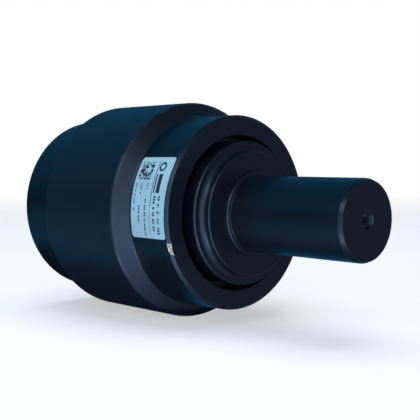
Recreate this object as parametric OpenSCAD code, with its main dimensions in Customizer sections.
// Carrier roller with a cantilever stub shaft.
// The roller turns about the Y axis. The stub points along -Y and +Z is up.
// The origin is on the axis, at the middle of the stub that a bracket clamps.
// Depths are measured from the shell's front face towards its rear.

/* [Stub shaft] */
// Diameter of the stub that the bracket clamps
stub_d = 50; // [40:1:50]
// Length of the stub from its shoulder to its end
stub_len = 88; // [60:1:120]
// Diameter of the journal, which also forms the shoulder
journal_d = 55; // [53:0.5:56]
// Distance from the shoulder to the shell's front face
shoulder_reach = 15.5; // [14:0.5:30]

/* [Roller shell] */
// Length of the shell
shell_len = 163; // [155:1:190]
// Diameter of the two treads
tread_d = 130; // [124:1:131]
// Diameter of the centre flange
flange_d = 150; // [146:1:170]
// Width of each tread, up to the foot of the flange
tread_w = 36.2; // [30:0.1:44]
// Axial run of each sloping side of the flange
flange_run = 7; // [4:0.5:12]
// Diameter of the recess in the front face
recess_d = 103; // [102:1:106]

/* [Seal collar] */
// Diameter of the collar's rim
collar_rim_d = 95; // [93:0.5:97]
// Diameter of the collar's hub
collar_hub_d = 82; // [76:1:84]
// Distance from the shoulder back to the hub's face
hub_setback = 2.8; // [2:0.1:4]

/* [Label] */
// Size of the label along the axis
label_w = 32.4; // [20:0.1:33]
// Size of the label around the tread
label_h = 53.5; // [30:0.5:70]
// Height of the label's middle above the side of the roller, in degrees
label_turn = 11; // [-60:1:60]

/* [Hidden] */
$fn = 96;

paint = [0.06, 0.09, 0.12];
steel = [0.62, 0.63, 0.65];
bronze = [0.72, 0.53, 0.30];
rubber = [0.12, 0.12, 0.12];
paper = [0.72, 0.82, 0.90];

// How far a cutter runs past the face it opens
past = 1;
// How far the patch that rounds a corner laps over the edges beside it
patch_lap = 0.5;
// Gap left between pieces that are pressed together
press_gap = 0.03;
// Radial clearance of the journal in its bushes
running_gap = 0.05;
// End play between each thrust face and its bush
end_play = 0.3;

stub_r = stub_d / 2;
journal_r = journal_d / 2;
tread_r = tread_d / 2;
flange_r = flange_d / 2;
recess_r = recess_d / 2;
rim_r = collar_rim_d / 2;
hub_r = collar_hub_d / 2;
front_y = stub_len / 2 + shoulder_reach;

// Edge shapes of the shaft
stub_bevel_len = 2.5;
stub_bevel_rise = 1;
stub_root_r = 0.5;
shoulder_bevel = 0.8;
journal_bevel = 1;

// Edge shapes of the shell
shell_bevel = 1.7;
recess_bevel = 0.6;
recess_depth = 14;
flange_foot_r = 2.5;
flange_edge_r = 3;

// Bushes, from the front face inwards
bush_wall = 5;
bush_r = journal_r + bush_wall;
bush_flange_r = bush_r + 4;
bush_flange_len = 3.5;
bush_fit_len = 38;
inner_bush_face = 22.5;
inner_bush_seat = inner_bush_face + bush_flange_len;
inner_bush_end = inner_bush_seat + bush_fit_len;
oil_space_r = bush_r + 3.5;
// The shell's extra length goes to the oil space between the bushes
outer_bush_end = shell_len - 39;
outer_bush_start = outer_bush_end - bush_fit_len;
outer_bush_face = outer_bush_end + bush_flange_len;

// Thrust plate, its three bolts and their washers
shaft_end = outer_bush_face + end_play;
plate_r = bush_flange_r + 1.5;
plate_len = 8;
plate_space_r = 42;
bolt_count = 3;
bolt_circle_r = 16;
bolt_r = 5;
bolt_hole_r = 5.5;
bolt_flats = 17;
bolt_head_len = 6.4;
bolt_grip_len = 20;
tapped_depth = 25;
washer_r = 8.8;
washer_bore_r = 5.15;
washer_len = 2.4;
washer_cut = 1.2;
washer_seat = shaft_end + plate_len;
head_seat = washer_seat + washer_len;

// End cover, its O-ring and its snap ring
cover_r = 44;
cover_start = shell_len - 15;
cover_len = 7.8;
cover_dish_r = 33;
cover_dish_depth = 2.2;
cover_back_depth = 2.4;
groove_r = 45.75;
groove_start = cover_start + cover_len;
groove_len = 3.2;
clip_len = 3;
clip_width = 4.6;
clip_gap_angle = 24;
clip_ear_r = 4;
clip_ear_hole_r = 1.5;
cover_lead = 1.5;

// Metal face seal: two equal halves that meet at the seal plane
sleeve_r = journal_r + 5.5;
seal_plane = 12.5;
seal_face_gap = 0.05;
seal_bore_r = sleeve_r + 1.5;
seal_face_r = seal_bore_r + 6.5;
seal_face_len = 3.2;
seal_ramp_r = seal_bore_r + 3.9;
seal_len = 9;
seal_slope = 0.25;
seat_mouth_r = seal_bore_r + 9.5;
seat_mouth = recess_depth - seal_plane;
seat_floor = inner_bush_seat - seal_plane;
toric_depth = 6.2;
toric_section_r = 2.8;

// Seal collar
hub_face = hub_setback - shoulder_reach;
hub_bevel = 0.6;
rim_face = -6.4;
rim_bevel = 0.8;
hub_root_r = 3.5;
collar_end = seal_plane - seat_mouth;
collar_floor = seal_plane - seat_floor;
sleeve_end = inner_bush_face - end_play;

// O-ring sections and their grooves
o_ring_section_r = 1.6;
o_ring_groove_depth = 2.5;
o_ring_groove_len = 4.2;
collar_groove = (hub_face + collar_floor) / 2;
cover_groove = cover_start + cover_len / 2;

// Oil gallery and plug in the stub's end
stub_end = -shoulder_reach - stub_len;
plug_r = 4.4;
plug_len = 8;
plug_setback = 2.6;
plug_bore_depth = 14;
plug_mouth_bevel = 1;
plug_socket_flats = 5;
plug_socket_depth = 4.5;
gallery_r = 3.5;
cross_hole_r = 3;
gallery_end = (inner_bush_end + outer_bush_start) / 2;

// Label
label_gap = 0.02;
label_thick = 0.15;
label_corner_r = 2;
label_edge = 2.4;

// Radius of a hexagon's corners from the distance across its flats
function hex_r(flats) = flats / 2 / cos(30);

// Outer radius of the moving half's metal ring at a depth behind its face
function ring_ramp(depth) = seal_ramp_r - seal_slope * (depth - seal_face_len);

// Inner radius of the seat around the rubber ring at a depth behind the seal plane
function seat_ramp(depth) = seat_mouth_r - seal_slope * (depth - seat_mouth);

function unit(v) = v / norm(v);

// A round is written [corner, point before it, point after it, radius].
// This is the direction from its corner that halves the angle between the two edges.
function bisector(round) = unit(unit(round[1] - round[0]) + unit(round[2] - round[0]));

function half_angle(round) = acos(unit(round[1] - round[0]) * bisector(round));

// The two points where a round meets its edges
function round_ends(round) = [
    for (side = [round[1], round[2]])
        round[0] + unit(side - round[0]) * round[3] / tan(half_angle(round))
];

function round_middle(round) = round[0] + bisector(round) * round[3] / sin(half_angle(round));

// Puts a shape on the roller's axis, at a depth behind the shell's front face.
module on_axis(depth = 0) {
    translate([0, front_y + depth, 0]) rotate([-90, 0, 0]) children();
}

// A turned piece, from the half section drawn as [radius, depth].
module turned(depth = 0) {
    on_axis(depth) rotate_extrude() children();
}

// Plain ring from one depth to another.
module ring(inner_r, outer_r, start, end) {
    on_axis(start) difference() {
        cylinder(r = outer_r, h = end - start);
        translate([0, 0, -past]) cylinder(r = inner_r, h = end - start + 2 * past);
    }
}

// Hollows out an inner corner that is drawn straight from one end of its round to the other.
module inner_round_cut(round) {
    translate(round_middle(round)) circle(r = round[3]);
}

// What lies outside the round of an outer corner. It laps a little over the corner's edges.
module outer_round_cut(round) {
    ends = round_ends(round);
    outward = -patch_lap * bisector(round);
    difference() {
        polygon([ends[0], ends[0] + outward, round[0] + outward, ends[1] + outward, ends[1]]);
        inner_round_cut(round);
    }
}

// Round section squeezed flat between two radii.
module squeezed_ring(inner_r, outer_r, section_r) {
    rotate_extrude() intersection() {
        translate([(inner_r + outer_r) / 2, 0]) circle(r = section_r);
        translate([inner_r + press_gap, -section_r])
            square([outer_r - inner_r - 2 * press_gap, 2 * section_r]);
    }
}

// Places a copy on the bolt circle.
module at_bolt(index) {
    rotate([0, 0, 90 + index * 360 / bolt_count]) translate([bolt_circle_r, 0, 0]) children();
}

module rounded_rectangle(width, height, radius) {
    difference() {
        square([width, height], center = true);
        for (turn = [0, 180], flip = [0, 1])
            rotate(turn) mirror([flip, 0]) translate([width / 2 - radius, height / 2 - radius])
            difference() {
                square(radius + past);
                circle(r = radius);
            }
    }
}

// Stub, shoulder and journal turned from one bar.
module shaft_section() {
    shoulder = -shoulder_reach;
    root = [[stub_r, shoulder], [stub_r, stub_end], [journal_r, shoulder], stub_root_r];
    difference() {
        polygon([
            [0, stub_end],
            [stub_r - stub_bevel_rise, stub_end],
            [stub_r, stub_end + stub_bevel_len],
            each round_ends(root),
            [journal_r - shoulder_bevel, shoulder],
            [journal_r, shoulder + shoulder_bevel],
            [journal_r, shaft_end - journal_bevel],
            [journal_r - journal_bevel, shaft_end],
            [0, shaft_end]
        ]);
        inner_round_cut(root);
    }
}

module shaft() {
    color(paint) difference() {
        turned() shaft_section();
        on_axis(stub_end) {
            translate([0, 0, -past]) cylinder(r = plug_r, h = plug_bore_depth + past);
            cylinder(r = gallery_r, h = gallery_end - stub_end);
            translate([0, 0, -past])
                cylinder(r1 = plug_r + plug_mouth_bevel + past, r2 = plug_r,
                    h = plug_mouth_bevel + past);
        }
        on_axis(gallery_end) rotate([90, 0, 0])
            cylinder(r = cross_hole_r, h = journal_d + 2 * past, center = true);
        on_axis(shaft_end) for (i = [0 : bolt_count - 1])
            at_bolt(i) translate([0, 0, -tapped_depth]) cylinder(r = bolt_r, h = tapped_depth + past);
    }
}

// Taper plug with a hexagon socket, screwed in below the stub's end face.
module oil_plug() {
    color(steel) on_axis(stub_end + plug_setback) difference() {
        cylinder(r = plug_r - press_gap, h = plug_len);
        translate([0, 0, -past])
            cylinder(r = hex_r(plug_socket_flats), h = plug_socket_depth + past, $fn = 6);
    }
}

module collar_section() {
    hub_root = [[hub_r, rim_face], [hub_r, hub_face], [rim_r, rim_face], hub_root_r];
    difference() {
        polygon([
            [journal_r + press_gap, hub_face],
            [hub_r - hub_bevel, hub_face],
            [hub_r, hub_face + hub_bevel],
            each round_ends(hub_root),
            [rim_r - rim_bevel, rim_face],
            [rim_r, rim_face + rim_bevel],
            [rim_r, collar_end],
            [seat_ramp(seat_mouth), collar_end],
            [seat_ramp(seat_floor), collar_floor],
            [sleeve_r, collar_floor],
            [sleeve_r, sleeve_end],
            [journal_r + press_gap, sleeve_end]
        ]);
        inner_round_cut(hub_root);
        translate([0, collar_groove - o_ring_groove_len / 2])
            square([journal_r + o_ring_groove_depth, o_ring_groove_len]);
    }
}

// Fixed collar pressed on the journal. It carries the fixed half of the seal.
module seal_collar() {
    color(paint) turned() collar_section();
}

module collar_o_ring() {
    color(rubber) on_axis(collar_groove)
        squeezed_ring(journal_r, journal_r + o_ring_groove_depth, o_ring_section_r);
}

// Half section of one hard metal ring, from its sealing face inwards.
module seal_ring_section() {
    polygon([
        [seal_bore_r, 0],
        [seal_face_r, 0],
        [seal_face_r, seal_face_len],
        [ring_ramp(seal_face_len), seal_face_len],
        [ring_ramp(seal_len), seal_len],
        [seal_bore_r, seal_len]
    ]);
}

// Half section of one rubber ring, squeezed between its metal ring and its seat.
module toric_section() {
    middle_r = (ring_ramp(toric_depth) + seat_ramp(toric_depth)) / 2;
    shallow = toric_depth - toric_section_r;
    deep = toric_depth + toric_section_r;
    gap = 2 * press_gap;
    intersection() {
        translate([middle_r, toric_depth]) circle(r = toric_section_r);
        polygon([
            [ring_ramp(shallow) + gap, shallow],
            [seat_ramp(shallow) - gap, shallow],
            [seat_ramp(deep) - gap, deep],
            [ring_ramp(deep) + gap, deep]
        ]);
    }
}

module fixed_seal_ring() {
    color(steel) turned(seal_plane - seal_face_gap / 2) mirror([0, 1]) seal_ring_section();
}

module fixed_seal_toric() {
    color(rubber) turned(seal_plane) mirror([0, 1]) toric_section();
}

module rolling_seal_ring() {
    color(steel) turned(seal_plane + seal_face_gap / 2) seal_ring_section();
}

module rolling_seal_toric() {
    color(rubber) turned(seal_plane) toric_section();
}

// Plate bolted to the shaft's inner end. It keeps the roller on the journal.
module thrust_plate() {
    color(steel) difference() {
        on_axis(shaft_end) cylinder(r = plate_r, h = plate_len);
        on_axis(shaft_end) for (i = [0 : bolt_count - 1])
            at_bolt(i) translate([0, 0, -past]) cylinder(r = bolt_hole_r, h = plate_len + 2 * past);
    }
}

// Hexagon bolt. The cone trims the corners of the head.
module thrust_bolt(index) {
    head_corner_r = hex_r(bolt_flats);
    color(steel) on_axis(head_seat) at_bolt(index) {
        translate([0, 0, -plate_len - washer_len - bolt_grip_len])
            cylinder(r = bolt_r - press_gap, h = plate_len + washer_len + bolt_grip_len);
        intersection() {
            cylinder(r = head_corner_r, h = bolt_head_len, $fn = 6);
            cylinder(r1 = head_corner_r + bolt_head_len, r2 = bolt_flats / 2 - 0.3,
                h = bolt_head_len);
        }
    }
}

// Split spring washer under one bolt head.
module spring_washer(index) {
    color(steel) on_axis(washer_seat) at_bolt(index) difference() {
        cylinder(r = washer_r, h = washer_len);
        translate([0, 0, -past]) cylinder(r = washer_bore_r, h = washer_len + 2 * past);
        translate([washer_r, 0, washer_len / 2]) rotate([30, 0, 0])
            cube([2 * washer_r, washer_cut, 4 * washer_len], center = true);
    }
}

module shell_section() {
    flange_start = tread_w + flange_run;
    front_foot = [tread_r, tread_w];
    front_edge = [flange_r, flange_start];
    rear_edge = [flange_r, shell_len - flange_start];
    rear_foot = [tread_r, shell_len - tread_w];
    front_foot_round = [front_foot, [tread_r, 0], front_edge, flange_foot_r];
    rear_foot_round = [rear_foot, rear_edge, [tread_r, shell_len], flange_foot_r];
    difference() {
        polygon([
            [0, 0],
            [tread_r - shell_bevel, 0],
            [tread_r, shell_bevel],
            each round_ends(front_foot_round),
            front_edge,
            rear_edge,
            each round_ends(rear_foot_round),
            [tread_r, shell_len - shell_bevel],
            [tread_r - shell_bevel, shell_len],
            [0, shell_len]
        ]);
        inner_round_cut(front_foot_round);
        inner_round_cut(rear_foot_round);
        outer_round_cut([front_edge, front_foot, rear_edge, flange_edge_r]);
        outer_round_cut([rear_edge, front_edge, rear_foot, flange_edge_r]);
        polygon([
            [0, -past],
            [recess_r + recess_bevel, -past],
            [recess_r + recess_bevel, 0],
            [recess_r, recess_bevel],
            [recess_r, recess_depth],
            [seat_ramp(seat_mouth), recess_depth],
            [seat_ramp(seat_floor), inner_bush_seat],
            [bush_r, inner_bush_seat],
            [bush_r, inner_bush_end],
            [oil_space_r, inner_bush_end],
            [oil_space_r, outer_bush_start],
            [bush_r, outer_bush_start],
            [bush_r, outer_bush_end],
            [plate_space_r, outer_bush_end],
            [plate_space_r, cover_start],
            [cover_r, cover_start],
            [cover_r, groove_start],
            [groove_r, groove_start],
            [groove_r, groove_start + groove_len],
            [cover_r, groove_start + groove_len],
            [cover_r, shell_len - cover_lead],
            [cover_r + cover_lead, shell_len],
            [cover_r + cover_lead, shell_len + past],
            [0, shell_len + past]
        ]);
    }
}

// Rolling shell with two treads and a centre flange, bored for the parts inside it.
module roller_shell() {
    color(paint) turned() shell_section();
}

// Flanged bush. Its flange takes the end thrust.
module bush(start, end, flange_start, flange_end) {
    difference() {
        union() {
            on_axis(start) cylinder(r = bush_r - press_gap, h = end - start);
            on_axis(flange_start) cylinder(r = bush_flange_r, h = flange_end - flange_start);
        }
        on_axis(start - past) cylinder(r = journal_r + running_gap, h = end - start + 2 * past);
    }
}

module inner_bush() {
    color(bronze) bush(inner_bush_face, inner_bush_end, inner_bush_face, inner_bush_seat);
}

module outer_bush() {
    color(bronze) bush(outer_bush_start, outer_bush_face, outer_bush_end, outer_bush_face);
}

module cover_section() {
    outer_r = cover_r - press_gap;
    dish_corner = [cover_dish_r, cover_len - cover_dish_depth];
    difference() {
        polygon([
            [0, 0],
            [outer_r - journal_bevel, 0],
            [outer_r, journal_bevel],
            [outer_r, cover_len - press_gap],
            [0, cover_len - press_gap]
        ]);
        translate([outer_r - o_ring_groove_depth, (cover_len - o_ring_groove_len) / 2])
            square([o_ring_groove_depth + past, o_ring_groove_len]);
        translate([0, -past]) square([cover_dish_r, cover_back_depth + past]);
        polygon([
            [0, dish_corner[1]],
            dish_corner,
            [cover_dish_r + cover_dish_depth, cover_len],
            [0, cover_len]
        ]);
    }
}

// Cover that closes the shell's blind end. Both its faces are dished.
module end_cover() {
    color(paint) turned(cover_start) cover_section();
}

module cover_o_ring() {
    color(rubber) on_axis(cover_groove)
        squeezed_ring(cover_r - press_gap - o_ring_groove_depth, cover_r, o_ring_section_r);
}

// Places a copy at the ear on one side of the gap in the snap ring.
module at_clip_ear(side) {
    ear_angle = asin(clip_ear_r / (groove_r - clip_width));
    rotate([0, 0, 90 + side * (clip_gap_angle / 2 + ear_angle)])
        translate([groove_r - clip_width - clip_ear_r / 2, 0, 0]) children();
}

// Internal snap ring with two eared ends at the bottom.
module cover_snap_ring() {
    clip_r = groove_r - 2 * press_gap;
    gap_reach = 2 * groove_r;
    color(steel) on_axis(groove_start + press_gap) difference() {
        union() {
            difference() {
                cylinder(r = clip_r, h = clip_len);
                translate([0, 0, -past]) cylinder(r = clip_r - clip_width, h = clip_len + 2 * past);
                translate([0, 0, -past]) linear_extrude(clip_len + 2 * past) polygon([
                    [0, 0],
                    gap_reach * [sin(clip_gap_angle / 2), cos(clip_gap_angle / 2)],
                    gap_reach * [-sin(clip_gap_angle / 2), cos(clip_gap_angle / 2)]
                ]);
            }
            for (side = [-1, 1]) at_clip_ear(side) cylinder(r = clip_ear_r, h = clip_len);
        }
        for (side = [-1, 1]) at_clip_ear(side)
            translate([0, 0, -past]) cylinder(r = clip_ear_hole_r, h = clip_len + 2 * past);
    }
}

// Thin label stuck round the front tread, on the -X side.
module label() {
    inner_r = tread_r + label_gap;
    chord = 2 * inner_r * sin(label_h / inner_r * 90 / PI);
    color(paper) rotate([0, label_turn, 0]) intersection() {
        ring(inner_r, inner_r + label_thick, 0, tread_w);
        translate([0, front_y + label_edge + label_w / 2, 0]) rotate([0, -90, 0])
            rotate([0, 0, 90]) linear_extrude(tread_d)
            rounded_rectangle(label_w, chord, label_corner_r);
    }
}

shaft();
oil_plug();
seal_collar();
collar_o_ring();
fixed_seal_ring();
fixed_seal_toric();
thrust_plate();
thrust_bolt(0);  // thrust_bolt_1
thrust_bolt(1);  // thrust_bolt_2
thrust_bolt(2);  // thrust_bolt_3
spring_washer(0);  // spring_washer_1
spring_washer(1);  // spring_washer_2
spring_washer(2);  // spring_washer_3
roller_shell();
inner_bush();
outer_bush();
rolling_seal_ring();
rolling_seal_toric();
end_cover();
cover_o_ring();
cover_snap_ring();
label();
